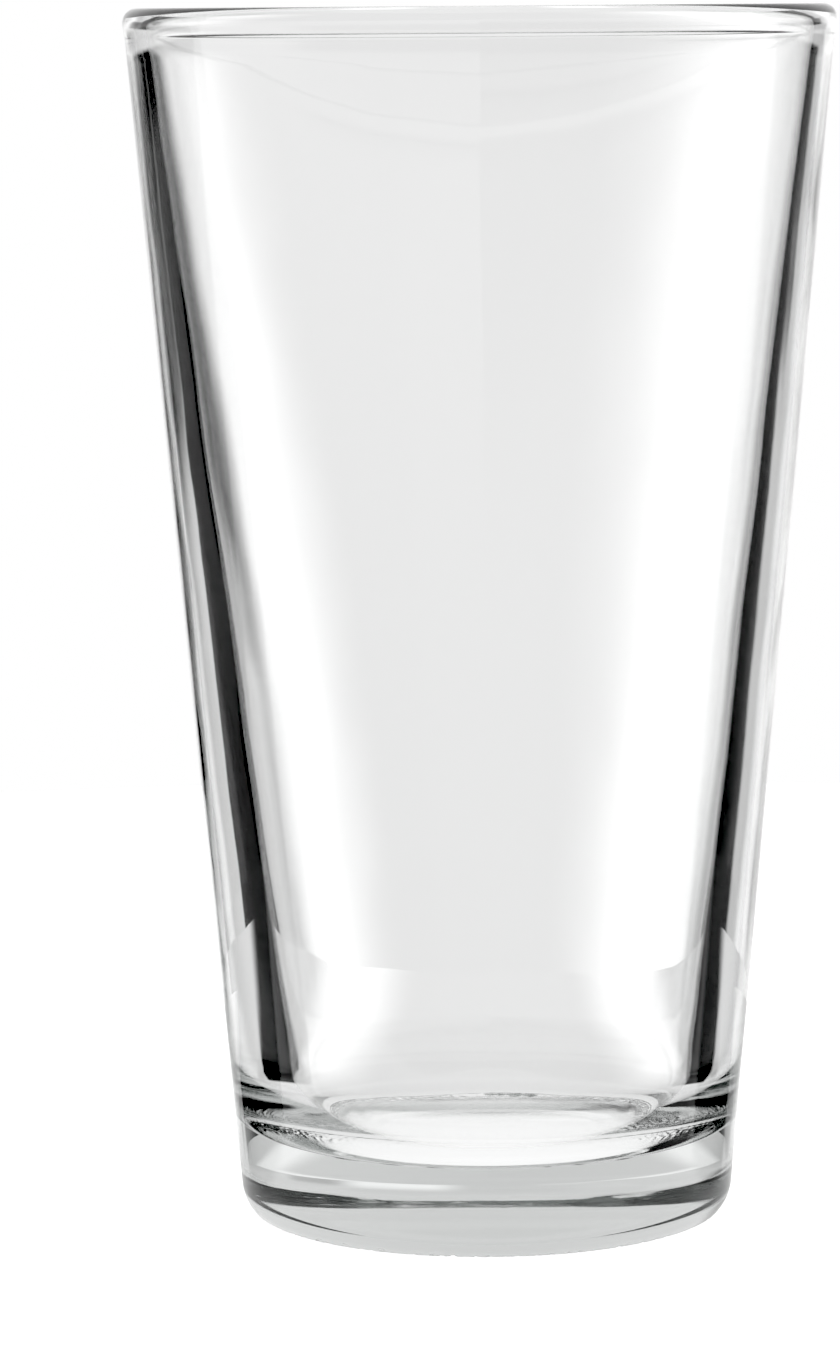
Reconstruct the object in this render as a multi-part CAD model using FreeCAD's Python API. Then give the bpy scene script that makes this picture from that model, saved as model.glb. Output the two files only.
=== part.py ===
import FreeCAD, Part
import math
import os

# Pint glass: one pressed soda-lime moulding, turned about +Z, standing on z = 0.
# All lengths are millimetres.

# Driving dimensions.
HEIGHT = 165.1
FOOT_RADIUS = 33.6  # outside wall line, carried down to z = 0
OUTER_TAPER_DEG = 5.08  # outside wall, leaning outwards as it rises
RIM_RADIUS = 48.2  # widest point of the bead
FLOOR_HEIGHT = 11.0  # inside floor above the table
FLOOR_RADIUS = 27.2  # inside wall line, carried down to the floor
FLOOR_CORNER_RADIUS = 9.5

# Lip: a fire-polished bead that stands slightly proud of the wall below it.
BEAD_HEIGHT = 4.0
LIP_OUTER_RADIUS = 1.9
LIP_INNER_RADIUS = 1.0

# Foot: the glass rests on a narrow ring around a shallow hollow.
HEEL_RADIUS = 3.6
BEARING_RING_WIDTH = 2.4
HOLLOW_DEPTH = 1.6


def point(radius, z):
    """A point of the half profile, which lies in the XZ plane."""
    return FreeCAD.Vector(radius, 0, z)


def line(start, end):
    return Part.LineSegment(start, end).toShape()


def arc(start, through, end):
    return Part.Arc(start, through, end).toShape()


def outer_radius(z):
    """Radius of the outside wall line at a height."""
    return FOOT_RADIUS + z * math.tan(math.radians(OUTER_TAPER_DEG))


def cap_radius(half_chord, height):
    """Radius of the circle whose cap has this half chord and this height."""
    return (half_chord**2 + height**2) / (2 * height)


def cap_drop(radius, offset):
    """How far a circle has fallen away from its crown at an offset from the crown."""
    return radius - math.sqrt(radius**2 - offset**2)


def quarter_arc(centre, start_deg, radius):
    """A quarter circle, turned anticlockwise from a start angle in the XZ plane."""
    angles = [math.radians(start_deg + step) for step in (0, 45, 90)]
    ends = [centre + point(radius * math.cos(a), radius * math.sin(a)) for a in angles]
    return arc(*ends)


def rounded_corner(corner, towards_a, towards_b, radius):
    """Start, middle and end of the arc that rounds a corner between two straight sides."""
    side_a = (towards_a - corner).normalize()
    side_b = (towards_b - corner).normalize()
    half_angle = side_a.getAngle(side_b) / 2
    setback = radius / math.tan(half_angle)
    reach = radius / math.sin(half_angle) - radius
    middle = corner + (side_a + side_b).normalize() * reach
    return corner + side_a * setback, middle, corner + side_b * setback


def foot_edges(wall_top):
    """Hollow, bearing ring and heel. Returns the edges and the point where the wall starts."""
    ring_outside, heel_middle, wall_start = rounded_corner(
        point(FOOT_RADIUS, 0), point(0, 0), wall_top, HEEL_RADIUS
    )
    ring_inside = ring_outside - point(BEARING_RING_WIDTH, 0)
    halfway = ring_inside.x / 2
    dome_radius = cap_radius(ring_inside.x, HOLLOW_DEPTH)
    dome_middle = point(halfway, HOLLOW_DEPTH - cap_drop(dome_radius, halfway))
    edges = [
        arc(point(0, HOLLOW_DEPTH), dome_middle, ring_inside),
        line(ring_inside, ring_outside),
        arc(ring_outside, heel_middle, wall_start),
    ]
    return edges, wall_start


def lip_edges(bead_start):
    """Bead and rounded lip. Returns the edges and the point where the inside wall starts."""
    bead_end = point(RIM_RADIUS, HEIGHT - LIP_OUTER_RADIUS)
    rise = bead_end.z - bead_start.z
    bulge_radius = cap_radius(rise, bead_end.x - bead_start.x)
    bead_middle = bead_end - point(cap_drop(bulge_radius, rise / 2), rise / 2)
    crown_x = RIM_RADIUS - LIP_OUTER_RADIUS
    outer_centre = point(crown_x, HEIGHT - LIP_OUTER_RADIUS)
    inner_centre = point(crown_x, HEIGHT - LIP_INNER_RADIUS)
    edges = [
        arc(bead_start, bead_middle, bead_end),
        quarter_arc(outer_centre, 0, LIP_OUTER_RADIUS),
        quarter_arc(inner_centre, 90, LIP_INNER_RADIUS),
    ]
    return edges, inner_centre - point(LIP_INNER_RADIUS, 0)


def glass_profile():
    """Closed half section of the glass, from the axis round the foot, wall and lip."""
    bead_start = point(outer_radius(HEIGHT - BEAD_HEIGHT), HEIGHT - BEAD_HEIGHT)
    foot, wall_start = foot_edges(bead_start)
    lip, inner_wall_top = lip_edges(bead_start)
    floor_centre = point(0, FLOOR_HEIGHT)
    inner_wall_end, floor_middle, floor_edge = rounded_corner(
        point(FLOOR_RADIUS, FLOOR_HEIGHT), inner_wall_top, floor_centre, FLOOR_CORNER_RADIUS
    )
    inside = [
        line(inner_wall_top, inner_wall_end),
        arc(inner_wall_end, floor_middle, floor_edge),
        line(floor_edge, floor_centre),
        line(floor_centre, point(0, HOLLOW_DEPTH)),
    ]
    return foot + [line(wall_start, bead_start)] + lip + inside


def glass_body():
    """The whole tumbler: the half section turned once about the vertical axis."""
    face = Part.Face(Part.Wire(glass_profile()))
    return face.revolve(point(0, 0), FreeCAD.Vector(0, 0, 1), 360)


def check_solid(name, shape):
    """Stop if a part is not one sound solid."""
    if not shape.isValid() or len(shape.Solids) != 1:
        raise ValueError(f"{name} is not one valid solid")


def main():
    os.makedirs("parts", exist_ok=True)
    parts = {"glass_body": glass_body()}
    for name, shape in parts.items():
        check_solid(name, shape)
        shape.exportStep(f"parts/{name}.step")
        box = shape.optimalBoundingBox()
        print(name, round(box.XLength, 2), round(box.YLength, 2), round(box.ZLength, 2))
        print("glass volume in ml:", round(shape.Volume / 1000, 1))


main()
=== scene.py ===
import math

import bpy
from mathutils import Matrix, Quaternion, Vector, noise


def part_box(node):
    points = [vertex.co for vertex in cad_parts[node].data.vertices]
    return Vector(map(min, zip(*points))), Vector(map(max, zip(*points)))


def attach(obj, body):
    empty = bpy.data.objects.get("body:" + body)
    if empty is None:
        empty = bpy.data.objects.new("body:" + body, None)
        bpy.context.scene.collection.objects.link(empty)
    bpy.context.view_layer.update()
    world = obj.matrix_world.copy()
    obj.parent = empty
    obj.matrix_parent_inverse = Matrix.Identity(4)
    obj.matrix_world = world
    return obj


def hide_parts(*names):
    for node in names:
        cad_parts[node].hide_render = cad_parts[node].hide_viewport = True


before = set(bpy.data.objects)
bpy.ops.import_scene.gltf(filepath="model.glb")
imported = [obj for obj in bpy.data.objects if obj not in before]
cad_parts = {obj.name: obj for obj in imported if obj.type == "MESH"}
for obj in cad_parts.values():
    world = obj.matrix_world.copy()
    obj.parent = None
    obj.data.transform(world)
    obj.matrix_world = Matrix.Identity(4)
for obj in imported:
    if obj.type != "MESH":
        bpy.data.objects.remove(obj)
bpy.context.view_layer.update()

# The glass is one pressed moulding, so the visual model is one turned mesh. All lengths are
# metres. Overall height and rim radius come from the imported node. The other sizes are the part's
# own, apart from the lower end of the cavity and the heel, which are shaped more finely here.
NODE = "glass_body"
MM = 0.001
box_low, box_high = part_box(NODE)
HEIGHT = box_high.z - box_low.z
RIM_RADIUS = (box_high.x - box_low.x) / 2

FOOT_RADIUS = 33.6 * MM
OUTER_TAPER = math.tan(math.radians(5.08))
FLOOR_HEIGHT = 11.0 * MM
FLOOR_RADIUS = 26.8 * MM
CAVITY_SHIFT = 0.48 * MM  # the plunger stood a little off centre at the floor, towards +X
SHIFT_HEIGHT = 130 * MM  # the shift has faded out this far above the floor
FLOOR_CORNER_WIDTH = 8.3 * MM  # the corner between wall and floor is a quarter of an upright oval
FLOOR_CORNER_HEIGHT = 13.0 * MM
BEAD_HEIGHT = 4.0 * MM
LIP_OUTER_RADIUS = 1.9 * MM
LIP_INNER_RADIUS = 1.0 * MM
HEEL_RADIUS = 6.0 * MM  # the heel curves in gently and ends in a tight corner at the table
HEEL_CORNER = 0.9 * MM
HEEL_TURN = 40  # degrees below level, where the two curves meet
RING_START = 27.9 * MM  # inner edge of the ring that the glass stands on
HOLLOW_DEPTH = 1.6 * MM

# Marks of pressing: how far across they are, and how deep.
WAVE_SIZE = 26 * MM  # slow waves on both walls, with finer ones on them
WAVE_DEPTH = 0.06 * MM
WAVE_FADE = 20 * MM  # they fade out over this much below the rim
FINE_WAVE_SIZE = WAVE_SIZE / 3
FINE_WAVE_SHARE = 1 / 4
RIPPLE_LENGTH = 3.4 * MM  # chill ripples on the lowest part of the inside wall
RIPPLE_DEPTH = 0.022 * MM
RIPPLE_TOP = 42 * MM
RIPPLE_DRIFT = 2  # radians
GRIT_SIZE = 1.0 * MM  # rough skin of the ring and of the lowest part of the heel
FINE_GRIT_SIZE = GRIT_SIZE / 2.3
GRIT_HEIGHT = 0.4 * MM
GRIT_TOP = 0.9 * MM
GRIT_EDGE = 1.5 * MM  # it starts this far inside the ring
GRIT_PATCH_SIZE = GRIT_SIZE * 9
GRIT_PATCHES = (0.6, 0.8)  # share of the height in a thin patch, and how much a thick one adds
PARTING_RADIUS = 31.5 * MM  # ragged groove where the mould met its bottom plate
PARTING_WIDTH = 0.45 * MM
PARTING_DEPTH = 0.34 * MM
PARTING_SHARE = 0.6  # its usual depth, as a share of PARTING_DEPTH
PARTING_WANDER = 0.35 * MM
RAGGED_SIZE = 1.6 * MM
PARTING_LENGTH = RAGGED_SIZE * 3  # between its deep and its shallow stretches
DISH_RADIUS = 19.3 * MM  # round print of the plunger's end in the floor
DISH_DEPTH = 0.3 * MM
DISH_EDGE = 1.1 * MM
DISH_WANDER = DISH_EDGE / 4
DISH_RIPPLE = DISH_DEPTH / 6
SEAM_ANGLES = (-86.5, 93.5)  # degrees, where the two mould halves meet
SEAM_HEIGHT = 0.035 * MM
SEAM_WIDTH = 0.9  # degrees

# The glass itself and the finish of its surface.
GLASS_IOR = 1.52
TINT = (0.46, 0.485, 0.475)  # colour of the absorption, a trace greener than grey
TINT_DENSITY = 10  # per metre
POLISH_SIZE = 5 * MM  # orange peel left by fire polishing
POLISH_DEPTH = 0.0025 * MM
HAZE_SIZE = 34 * MM  # faint wash haze in patches
HAZE_RANGE = (0.5, 0.75)  # noise values where a patch starts and is full
HAZE_ROUGHNESS = 0.012
SCUFF_TOP = 1.2 * MM  # the foot is scuffed by tables up to here
SCUFF_SIZE = 0.5 * MM
SCUFF_DEPTH = 0.03 * MM
SCUFF_PATCH_SIZE = SCUFF_SIZE * 6
SCUFF_RANGE = (0.3, 0.6)
SCUFF_ROUGHNESS = 0.2

# Mesh density: faces round the glass, and rows of them along the half profile.
SEGMENTS = 400
HOLLOW_ROWS = 16
RING_ROWS = 16
HEEL_CORNER_ROWS = 8
HEEL_ROWS = 12
WALL_ROWS = 48
BEAD_ROWS = 8
LIP_OUTER_ROWS = 14
LIP_INNER_ROWS = 10
INSIDE_ROWS = 62
CORNER_ROWS = 26
FLOOR_ROWS = 26

# Camera, in metres and radians, set so that the glass has the photograph's outline.
CAMERA_DISTANCE = 0.714
CAMERA_HEIGHT = HEIGHT
CAMERA_AIM = Vector((-0.00873, 0, 0.07424))
CAMERA_ROLL = -0.0077
IMAGE_HEIGHT = 1347  # pixels
FOCAL_PIXELS = 5244
SENSOR_WIDTH = 36  # millimetres
BLACK_LEVEL = 0.05  # the photograph's darkest tones are clipped to black
LIGHT_BOUNCES = 32  # light turns many times inside thick clear glass

# The table is what the camera sees directly. The sheet just below it is what the glass shows.
DISC_SIDES = 96
TABLE_RADIUS = 0.4
TABLE_DROP = 0.1 * MM
TABLE_GREY = 0.85
TABLE_ROUGHNESS = 0.7
TABLE_LIGHT = 0.9
SHEET_RADIUS = 150 * MM
SHEET_DROP = 0.4 * MM
SHEET_LIGHT = 0.88
PAINTED_STREAK_LIGHT = 1.25  # painted light: the glowing paper is brighter in a streak on each side, behind the glass
STREAK_SIDE = (29 * MM, 58 * MM, 18 * MM)  # start, end and softness
STREAK_BACK = (20 * MM, 48 * MM)  # it comes in between these distances behind the middle
PAINTED_POOL_LIGHT = 1.12  # painted pool of light on the paper under the glass, where the glass would gather light
POOL_EDGE = (36 * MM, 28 * MM)  # it comes in between these distances from the middle
CARD_EDGE = (42 * MM, 54 * MM)  # the sheet is cut away from this far out on each side, softly
CARD_TURN = (52, 97, 8)  # start, end and softness in degrees, from straight behind the glass
WHITE = (1, 1, 1, 1)
BLACK = (0, 0, 0, 1)

# Studio light by direction, laid down in order over an even light. Azimuth 0 is straight behind the
# glass and grows to the right, elevation is up from level, both in degrees as start, end and softness.
EVEN_LIGHT = 0.92
STUDIO = (
    ((-200, -60, 20), (8, 62, 8), 0.02),  # dark room, upper left
    ((109, 200, 20), (12, 62, 8), 0.02),  # dark room, upper right
    ((-200, -79, 8), (-45, 5, 6), 0.92),  # table and wall, left
    ((74, 200, 10), (-45, 8, 6), 0.9),  # table and wall, right
    ((-14, 24, 8), (-99, 5, 8), 0.87),  # white background
    ((-34, -13, 6), (-24, -12, 3), 0.8),  # its shaded left end
    ((26, 40, 6), (-24, 3, 4), 0.66),  # its shaded right end
    ((5.5, 23, 7), (-24, 3, 6), 1.3),  # its bright right half
    ((-17, -8, 6), (-24, -2, 6), 1.25),  # its bright left half
    ((-74, -32, 2), (-24, -3, 2), 0.0),  # black card, left
    ((-33, -18, 7), (-11.5, -3, 3), 0.0),  # its upper corner
    ((36, 69, 4), (-27, -3, 2), 0.0),  # black card, right
    ((31, 40, 4), (-10, -3, 2), 0.0),  # its upper corner
)


def outer_radius(z):
    """Radius of the outside wall line at a height."""
    return FOOT_RADIUS + z * OUTER_TAPER


def point(radius, z):
    """A point of the half profile, which lies in the XZ plane."""
    return Vector((radius, 0, z))


def arc(centre, radius, start_deg, end_deg, steps):
    """Points along a circle, in the half profile's plane."""
    angles = [math.radians(start_deg + (end_deg - start_deg) * i / steps) for i in range(steps + 1)]
    return [centre + point(radius * math.cos(a), radius * math.sin(a)) for a in angles]


def straight(start, end, steps):
    """Points between two ends, without the ends."""
    return [start.lerp(end, i / steps) for i in range(1, steps)]


def cap_radius(half_chord, height):
    """Radius of the circle whose cap has this half chord and this height."""
    return (half_chord**2 + height**2) / (2 * height)


def heel_points():
    """Tight corner at the table and the gentle curve above it, which ends on the outside wall line."""
    lean = math.degrees(math.atan(OUTER_TAPER))
    corner = arc(point(0, HEEL_CORNER), HEEL_CORNER, -90, -HEEL_TURN, HEEL_CORNER_ROWS)
    bend = math.radians(HEEL_TURN)
    middle = corner[-1] - point(HEEL_RADIUS * math.cos(bend), -HEEL_RADIUS * math.sin(bend))
    heel = corner + arc(middle, HEEL_RADIUS, -HEEL_TURN, -lean, HEEL_ROWS)[1:]
    outwards = point(outer_radius(heel[-1].z) - heel[-1].x, 0)
    return [p + outwards for p in heel]


def foot_points():
    """Hollow, bearing ring and heel, from the axis outwards."""
    heel = heel_points()
    dome = cap_radius(RING_START, HOLLOW_DEPTH)
    hollow = []
    for i in range(HOLLOW_ROWS + 1):
        r = RING_START * i / HOLLOW_ROWS
        hollow.append(point(r, HOLLOW_DEPTH - dome + math.sqrt(dome**2 - r**2)))
    return hollow + straight(hollow[-1], heel[0], RING_ROWS) + heel


def lip_points():
    """Bead, lip and the start of the inside wall."""
    bead_end = point(RIM_RADIUS, HEIGHT - LIP_OUTER_RADIUS)
    bead_start = point(outer_radius(HEIGHT - BEAD_HEIGHT), HEIGHT - BEAD_HEIGHT)
    rise = bead_end.z - bead_start.z
    bulge = cap_radius(rise, bead_end.x - bead_start.x)
    bulge_start = -math.degrees(math.asin(rise / bulge))
    crown = RIM_RADIUS - LIP_OUTER_RADIUS
    bead = arc(bead_end - point(bulge, 0), bulge, bulge_start, 0, BEAD_ROWS)
    outer_centre = point(crown, HEIGHT - LIP_OUTER_RADIUS)
    inner_centre = point(crown, HEIGHT - LIP_INNER_RADIUS)
    outside = arc(outer_centre, LIP_OUTER_RADIUS, 0, 90, LIP_OUTER_ROWS)
    inside = arc(inner_centre, LIP_INNER_RADIUS, 90, 180, LIP_INNER_ROWS)
    return bead + outside[1:] + inside[1:]


def floor_points(wall_top):
    """Oval floor corner and floor, from the inside wall inwards to the axis."""
    slope = (wall_top.x - FLOOR_RADIUS) / (wall_top.z - FLOOR_HEIGHT)
    start = -math.atan(slope * FLOOR_CORNER_HEIGHT / FLOOR_CORNER_WIDTH)
    wall_z = FLOOR_HEIGHT + FLOOR_CORNER_HEIGHT * (1 + math.sin(start))
    wall_x = FLOOR_RADIUS + slope * (wall_z - FLOOR_HEIGHT)
    centre = point(wall_x - FLOOR_CORNER_WIDTH * math.cos(start), FLOOR_HEIGHT + FLOOR_CORNER_HEIGHT)
    corner = []
    for i in range(CORNER_ROWS + 1):
        turn = start + (-math.pi / 2 - start) * i / CORNER_ROWS
        reach = point(FLOOR_CORNER_WIDTH * math.cos(turn), FLOOR_CORNER_HEIGHT * math.sin(turn))
        corner.append(centre + reach)
    middle = point(0, FLOOR_HEIGHT)
    return corner + straight(corner[-1], middle, FLOOR_ROWS) + [middle]


def glass_profile():
    """Half profile, from the axis underneath round to the axis on the floor, as surface and point."""
    foot = foot_points()
    lip = lip_points()
    floor = floor_points(lip[-1])
    stretches = (
        ("foot", foot),
        ("outside", straight(foot[-1], lip[0], WALL_ROWS)),
        ("lip", lip),
        ("inside", straight(lip[-1], floor[0], INSIDE_ROWS)),
        ("floor", floor),
    )
    return [(surface, p) for surface, points in stretches for p in points]


def fade(value, start, end):
    """0 at start and 1 at end, with a smooth step between them."""
    t = min(1, max(0, (value - start) / (end - start)))
    return t * t * (3 - 2 * t)


def walls_wave(position):
    """Slow unevenness of a pressed wall, in metres. It fades out towards the rim."""
    fine = noise.noise(position / FINE_WAVE_SIZE) * FINE_WAVE_SHARE
    wave = noise.noise(position / WAVE_SIZE) + fine
    return WAVE_DEPTH * wave * fade(position.z, HEIGHT, HEIGHT - WAVE_FADE)


def seam(angle):
    """Height of the two fine vertical lines where the mould halves met."""
    turned = math.degrees(angle)
    away = min(abs((turned - at + 180) % 360 - 180) for at in SEAM_ANGLES)
    return SEAM_HEIGHT * fade(away, SEAM_WIDTH, 0)


def chill_ripples(position):
    """Fine level ripples low on the inside wall, where the glass met the cool plunger first."""
    drift = noise.noise(position / WAVE_SIZE) * RIPPLE_DRIFT
    strength = fade(position.z, RIPPLE_TOP, FLOOR_HEIGHT)
    return RIPPLE_DEPTH * strength * math.sin(2 * math.pi * position.z / RIPPLE_LENGTH + drift)


def dish(radius, position):
    """Change of floor height for the plunger's round print and the ripples around its edge."""
    edge = DISH_RADIUS + noise.noise(position / FINE_WAVE_SIZE) * DISH_WANDER
    step = -DISH_DEPTH * fade(radius, edge + DISH_EDGE / 2, edge - DISH_EDGE / 2)
    outside = (radius - edge) / DISH_EDGE
    ripple = math.sin(2 * math.pi * outside) * math.exp(-abs(outside))
    return step + DISH_RIPPLE * ripple


def grit(position):
    """How far the rough skin of the foot lies above a smooth one. Its low points touch the table."""
    coarse = noise.noise(position / GRIT_SIZE)
    fine = noise.noise(position / FINE_GRIT_SIZE) / 2
    thin, more = GRIT_PATCHES
    patch = thin + more * abs(noise.noise(position / GRIT_PATCH_SIZE))
    return GRIT_HEIGHT * patch * max(0, coarse + fine) * fade(position.z, GRIT_TOP, 0)


def parting_line(radius, position):
    """Depth of the ragged groove that runs round the ring."""
    middle = PARTING_RADIUS + PARTING_WANDER * noise.noise(position / RAGGED_SIZE)
    depth = PARTING_DEPTH * max(0, PARTING_SHARE + noise.noise(position / PARTING_LENGTH))
    return depth * fade(abs(radius - middle), PARTING_WIDTH, 0)


def roughened(ring, position, outward):
    """A point of the foot, raised by grit and groove. On the heel the grit also dents it inwards."""
    rough = grit(position) * fade(ring.x, RING_START - GRIT_EDGE, RING_START)
    rise = rough + parting_line(ring.x, position)
    dent = rough * fade(ring.z, 0, HEEL_CORNER)
    return position + Vector((0, 0, rise)) - outward * dent


def cavity_offset(z):
    """How far the inside surface stands off centre at a height."""
    return point(CAVITY_SHIFT * max(0, 1 - (z - FLOOR_HEIGHT) / SHIFT_HEIGHT), 0)


def finished_point(surface, ring, angle):
    """A point of the turned surface, moved by the marks of pressing."""
    outward = Vector((math.cos(angle), math.sin(angle), 0))
    position = outward * ring.x + Vector((0, 0, ring.z))
    if surface == "foot":
        return roughened(ring, position, outward)
    if surface == "outside":
        return position + outward * (walls_wave(position) + seam(angle))
    if surface == "inside":
        opposite = Vector((-position.x, -position.y, position.z))  # so that its waves are its own
        position = position + outward * (walls_wave(opposite) + chill_ripples(position))
    if surface == "floor":
        position = position + Vector((0, 0, dish(ring.x, position)))
    if surface in ("inside", "floor"):
        position = position + cavity_offset(ring.z)
    return position


def turned_faces(ring_count):
    """Faces between neighbouring rings, and a fan at each end. Corners count on from the first point."""
    last = 1 + ring_count * SEGMENTS
    end = last - SEGMENTS
    faces = []
    for s in range(SEGMENTS):
        t = (s + 1) % SEGMENTS
        faces.append((0, 1 + t, 1 + s))
        for row in range(ring_count - 1):
            a = 1 + row * SEGMENTS
            b = a + SEGMENTS
            faces.append((a + s, a + t, b + t, b + s))
        faces.append((end + s, end + t, last))
    return faces


def turned_mesh(name, profile):
    """Turns a half profile about the vertical axis. Its first and last points are on the axis."""
    rings = profile[1:-1]
    turns = [2 * math.pi * s / SEGMENTS for s in range(SEGMENTS)]
    vertices = [finished_point(*profile[0], 0)]
    for surface, ring in rings:
        vertices.extend(finished_point(surface, ring, turn) for turn in turns)
    vertices.append(finished_point(*profile[-1], 0))
    mesh = bpy.data.meshes.new(name)
    mesh.from_pydata(vertices, [], turned_faces(len(rings)))
    mesh.update()
    for face in mesh.polygons:
        face.use_smooth = True
    piece = bpy.data.objects.new(name, mesh)
    bpy.context.scene.collection.objects.link(piece)
    return piece


def new_material(name):
    """A material and its Principled shader."""
    material = bpy.data.materials.new(name)
    material.use_nodes = True
    return material, material.node_tree.nodes["Principled BSDF"]


def feed(tree, value, socket):
    """Gives a socket a number or another node's output."""
    if isinstance(value, bpy.types.NodeSocket):
        tree.links.new(value, socket)
    else:
        socket.default_value = value


def maths(tree, operation, *values):
    """A math node. Each value is a number or another node's output."""
    node = tree.nodes.new("ShaderNodeMath")
    node.operation = operation
    for socket, value in zip(node.inputs, values):
        feed(tree, value, socket)
    return node.outputs[0]


def split(tree, coordinates):
    """The X, Y and Z of one of the texture coordinates."""
    node = tree.nodes.new("ShaderNodeSeparateXYZ")
    tree.links.new(tree.nodes.new("ShaderNodeTexCoord").outputs[coordinates], node.inputs[0])
    return node.outputs


def degrees(tree, angle):
    """An angle in radians, turned into degrees."""
    return maths(tree, "MULTIPLY", angle, math.degrees(1))


def ramp(tree, value, start, end):
    """0 before start and 1 after end, with a smooth step between them."""
    node = tree.nodes.new("ShaderNodeMapRange")
    node.interpolation_type = "SMOOTHSTEP"
    tree.links.new(value, node.inputs["Value"])
    node.inputs["From Min"].default_value = start
    node.inputs["From Max"].default_value = end
    return node.outputs["Result"]


def window(tree, value, low, high, softness):
    """1 between low and high, 0 outside, with soft edges."""
    half = softness / 2
    rise = ramp(tree, value, low - half, low + half)
    fall = ramp(tree, value, high - half, high + half)
    return maths(tree, "MULTIPLY", rise, maths(tree, "SUBTRACT", 1, fall))


def paint(tree, under, brightness, mask):
    """Lays one brightness over another where the mask is 1. The one under it may be a number."""
    node = tree.nodes.new("ShaderNodeMix")
    tree.links.new(mask, node.inputs["Factor"])
    feed(tree, under, node.inputs["A"])
    node.inputs["B"].default_value = brightness
    return node.outputs["Result"]


def cloud(tree, place, size, detail=2):
    """Soft noise between 0 and 1 with spots about this far across."""
    node = tree.nodes.new("ShaderNodeTexNoise")
    tree.links.new(place, node.inputs["Vector"])
    node.inputs["Scale"].default_value = 1 / size
    node.inputs["Detail"].default_value = detail
    return node.outputs["Fac"]


def bump(tree, height, depth, under=None):
    """Fine relief, in metres, laid over another relief."""
    node = tree.nodes.new("ShaderNodeBump")
    tree.links.new(height, node.inputs["Height"])
    node.inputs["Distance"].default_value = depth
    if under is not None:
        tree.links.new(under, node.inputs["Normal"])
    return node.outputs["Normal"]


def clear_glass():
    """Soda-lime glass: fire polished, with a trace of wash haze, and scuffed where it stands."""
    material, shader = new_material("clear_glass")
    tree = material.node_tree
    place = tree.nodes.new("ShaderNodeTexCoord").outputs["Object"]
    height = split(tree, "Object")["Z"]
    scuffed = maths(tree, "SUBTRACT", 1, ramp(tree, height, 0, SCUFF_TOP))
    worn = ramp(tree, cloud(tree, place, SCUFF_PATCH_SIZE), *SCUFF_RANGE)
    wear = maths(tree, "MULTIPLY", scuffed, worn)
    haze = ramp(tree, cloud(tree, place, HAZE_SIZE, detail=4), *HAZE_RANGE)
    roughness = maths(tree, "MULTIPLY", haze, HAZE_ROUGHNESS)
    roughness = maths(tree, "MULTIPLY_ADD", wear, SCUFF_ROUGHNESS, roughness)
    polish = bump(tree, cloud(tree, place, POLISH_SIZE), POLISH_DEPTH)
    scuffs = maths(tree, "MULTIPLY", cloud(tree, place, SCUFF_SIZE, detail=4), scuffed)

    shader.inputs["Base Color"].default_value = WHITE
    shader.inputs["Transmission Weight"].default_value = 1
    shader.inputs["IOR"].default_value = GLASS_IOR
    tree.links.new(roughness, shader.inputs["Roughness"])
    tree.links.new(bump(tree, scuffs, SCUFF_DEPTH, under=polish), shader.inputs["Normal"])
    tint = tree.nodes.new("ShaderNodeVolumeAbsorption")
    tint.inputs["Color"].default_value = (*TINT, 1)
    tint.inputs["Density"].default_value = TINT_DENSITY
    tree.links.new(tint.outputs["Volume"], tree.nodes["Material Output"].inputs["Volume"])
    return material


def studio_world():
    """Studio light by direction. Seen directly by the camera, the surroundings are plain white."""
    world = bpy.data.worlds.new("studio")
    bpy.context.scene.world = world
    world.use_nodes = True
    tree = world.node_tree
    direction = split(tree, "Generated")
    azimuth = degrees(tree, maths(tree, "ARCTAN2", direction["X"], direction["Y"]))
    elevation = degrees(tree, maths(tree, "ARCSINE", direction["Z"]))

    light = EVEN_LIGHT
    for (start, end, side_softness), (bottom, top, softness), brightness in STUDIO:
        around = window(tree, azimuth, start, end, side_softness)
        height = window(tree, elevation, bottom, top, softness)
        light = paint(tree, light, brightness, maths(tree, "MULTIPLY", around, height))

    seen = tree.nodes.new("ShaderNodeLightPath").outputs["Is Camera Ray"]
    light = paint(tree, light, 1, seen)
    background = tree.nodes["Background"]
    tree.links.new(light, background.inputs["Strength"])
    background.inputs["Color"].default_value = WHITE


def white_table():
    """Matt white, partly lit from within, like paper on a light table."""
    material, shader = new_material("white_table")
    shader.inputs["Base Color"].default_value = (TABLE_GREY, TABLE_GREY, TABLE_GREY, 1)
    shader.inputs["Roughness"].default_value = TABLE_ROUGHNESS
    shader.inputs["Emission Color"].default_value = WHITE
    shader.inputs["Emission Strength"].default_value = TABLE_LIGHT
    return material


def cut_out(material, mask):
    """Lets light straight through a material where the mask is 1."""
    tree = material.node_tree
    mix = tree.nodes.new("ShaderNodeMixShader")
    clear = tree.nodes.new("ShaderNodeBsdfTransparent")
    tree.links.new(mask, mix.inputs["Fac"])
    tree.links.new(tree.nodes["Principled BSDF"].outputs["BSDF"], mix.inputs[1])
    tree.links.new(clear.outputs["BSDF"], mix.inputs[2])
    tree.links.new(mix.outputs["Shader"], tree.nodes["Material Output"].inputs["Surface"])


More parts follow.
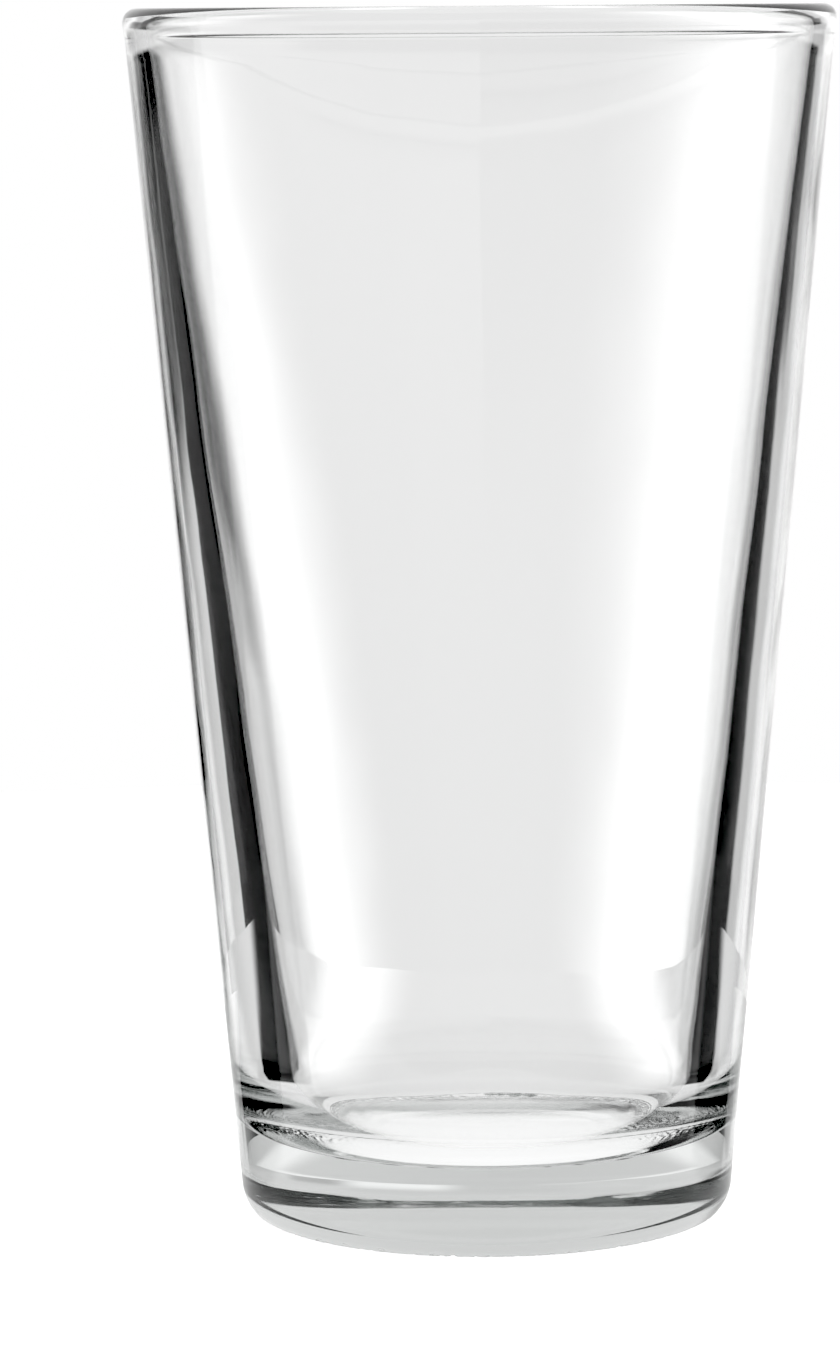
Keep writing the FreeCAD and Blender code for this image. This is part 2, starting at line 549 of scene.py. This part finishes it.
def sheet_under_glass():
    """Glowing white paper with a painted streak of light on each side behind the glass and a painted
    pool of light under it, cut away at each side of the glass, where the studio's dark cards show
    instead.
    """
    material, shader = new_material("sheet_under_glass")
    tree = material.node_tree
    place = split(tree, "Object")
    side = maths(tree, "ABSOLUTE", place["X"])
    turn = degrees(tree, maths(tree, "ARCTAN2", side, place["Y"]))
    squared = maths(tree, "MULTIPLY", side, side)
    reach = maths(tree, "SQRT", maths(tree, "MULTIPLY_ADD", place["Y"], place["Y"], squared))
    card = maths(tree, "MULTIPLY", ramp(tree, side, *CARD_EDGE), window(tree, turn, *CARD_TURN))
    behind = ramp(tree, place["Y"], *STREAK_BACK)
    painted_streak = maths(tree, "MULTIPLY", window(tree, side, *STREAK_SIDE), behind)
    # painted light: a brighter streak on each side behind the glass
    light = paint(tree, SHEET_LIGHT, PAINTED_STREAK_LIGHT, painted_streak)
    # painted pool of light on the sheet under the glass
    light = paint(tree, light, PAINTED_POOL_LIGHT, ramp(tree, reach, *POOL_EDGE))
    shader.inputs["Base Color"].default_value = BLACK
    shader.inputs["Specular IOR Level"].default_value = 0
    shader.inputs["Emission Color"].default_value = WHITE
    tree.links.new(light, shader.inputs["Emission Strength"])
    cut_out(material, card)
    return material


def disc(name, radius, z, material):
    """A round flat piece of the stage."""
    turns = [2 * math.pi * i / DISC_SIDES for i in range(DISC_SIDES)]
    rim = [(radius * math.cos(a), radius * math.sin(a), z) for a in turns]
    mesh = bpy.data.meshes.new(name)
    mesh.from_pydata(rim, [], [tuple(range(DISC_SIDES))])
    mesh.materials.append(material)
    piece = bpy.data.objects.new(name, mesh)
    bpy.context.scene.collection.objects.link(piece)
    return piece


def add_floor():
    """White table, and the sheet under the glass, which is what the glass itself shows of the table."""
    floor = disc("floor", TABLE_RADIUS, -TABLE_DROP, white_table())
    floor.visible_transmission = False
    floor.visible_glossy = False
    disc("sheet", SHEET_RADIUS, -SHEET_DROP, sheet_under_glass())


def add_camera():
    """A camera in front of the glass, level with its rim and looking down at its lower half."""
    camera = bpy.data.objects.new("camera", bpy.data.cameras.new("camera"))
    bpy.context.scene.collection.objects.link(camera)
    camera.location = (0, -CAMERA_DISTANCE, CAMERA_HEIGHT)
    look = CAMERA_AIM - camera.location
    camera.rotation_mode = "QUATERNION"
    roll = Quaternion((0, 0, 1), CAMERA_ROLL)
    camera.rotation_quaternion = look.to_track_quat("-Z", "Y") @ roll
    camera.data.sensor_width = SENSOR_WIDTH
    camera.data.lens = FOCAL_PIXELS / IMAGE_HEIGHT * SENSOR_WIDTH
    bpy.context.scene.camera = camera


def add_glass():
    """The glass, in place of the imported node."""
    glass = turned_mesh("pint_glass", glass_profile())
    glass.data.materials.append(clear_glass())
    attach(glass, "root")
    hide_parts(NODE)


def set_tones_and_bounces():
    """Plain tones with the darkest ones clipped, and enough bounces for thick glass."""
    view = bpy.context.scene.view_settings
    view.view_transform = "Standard"
    view.use_curve_mapping = True
    view.curve_mapping.black_level = (BLACK_LEVEL,) * 3
    view.curve_mapping.update()
    cycles = bpy.context.scene.cycles
    cycles.max_bounces = LIGHT_BOUNCES
    cycles.transmission_bounces = LIGHT_BOUNCES
    cycles.glossy_bounces = LIGHT_BOUNCES


add_glass()
studio_world()
add_floor()
add_camera()
set_tones_and_bounces()
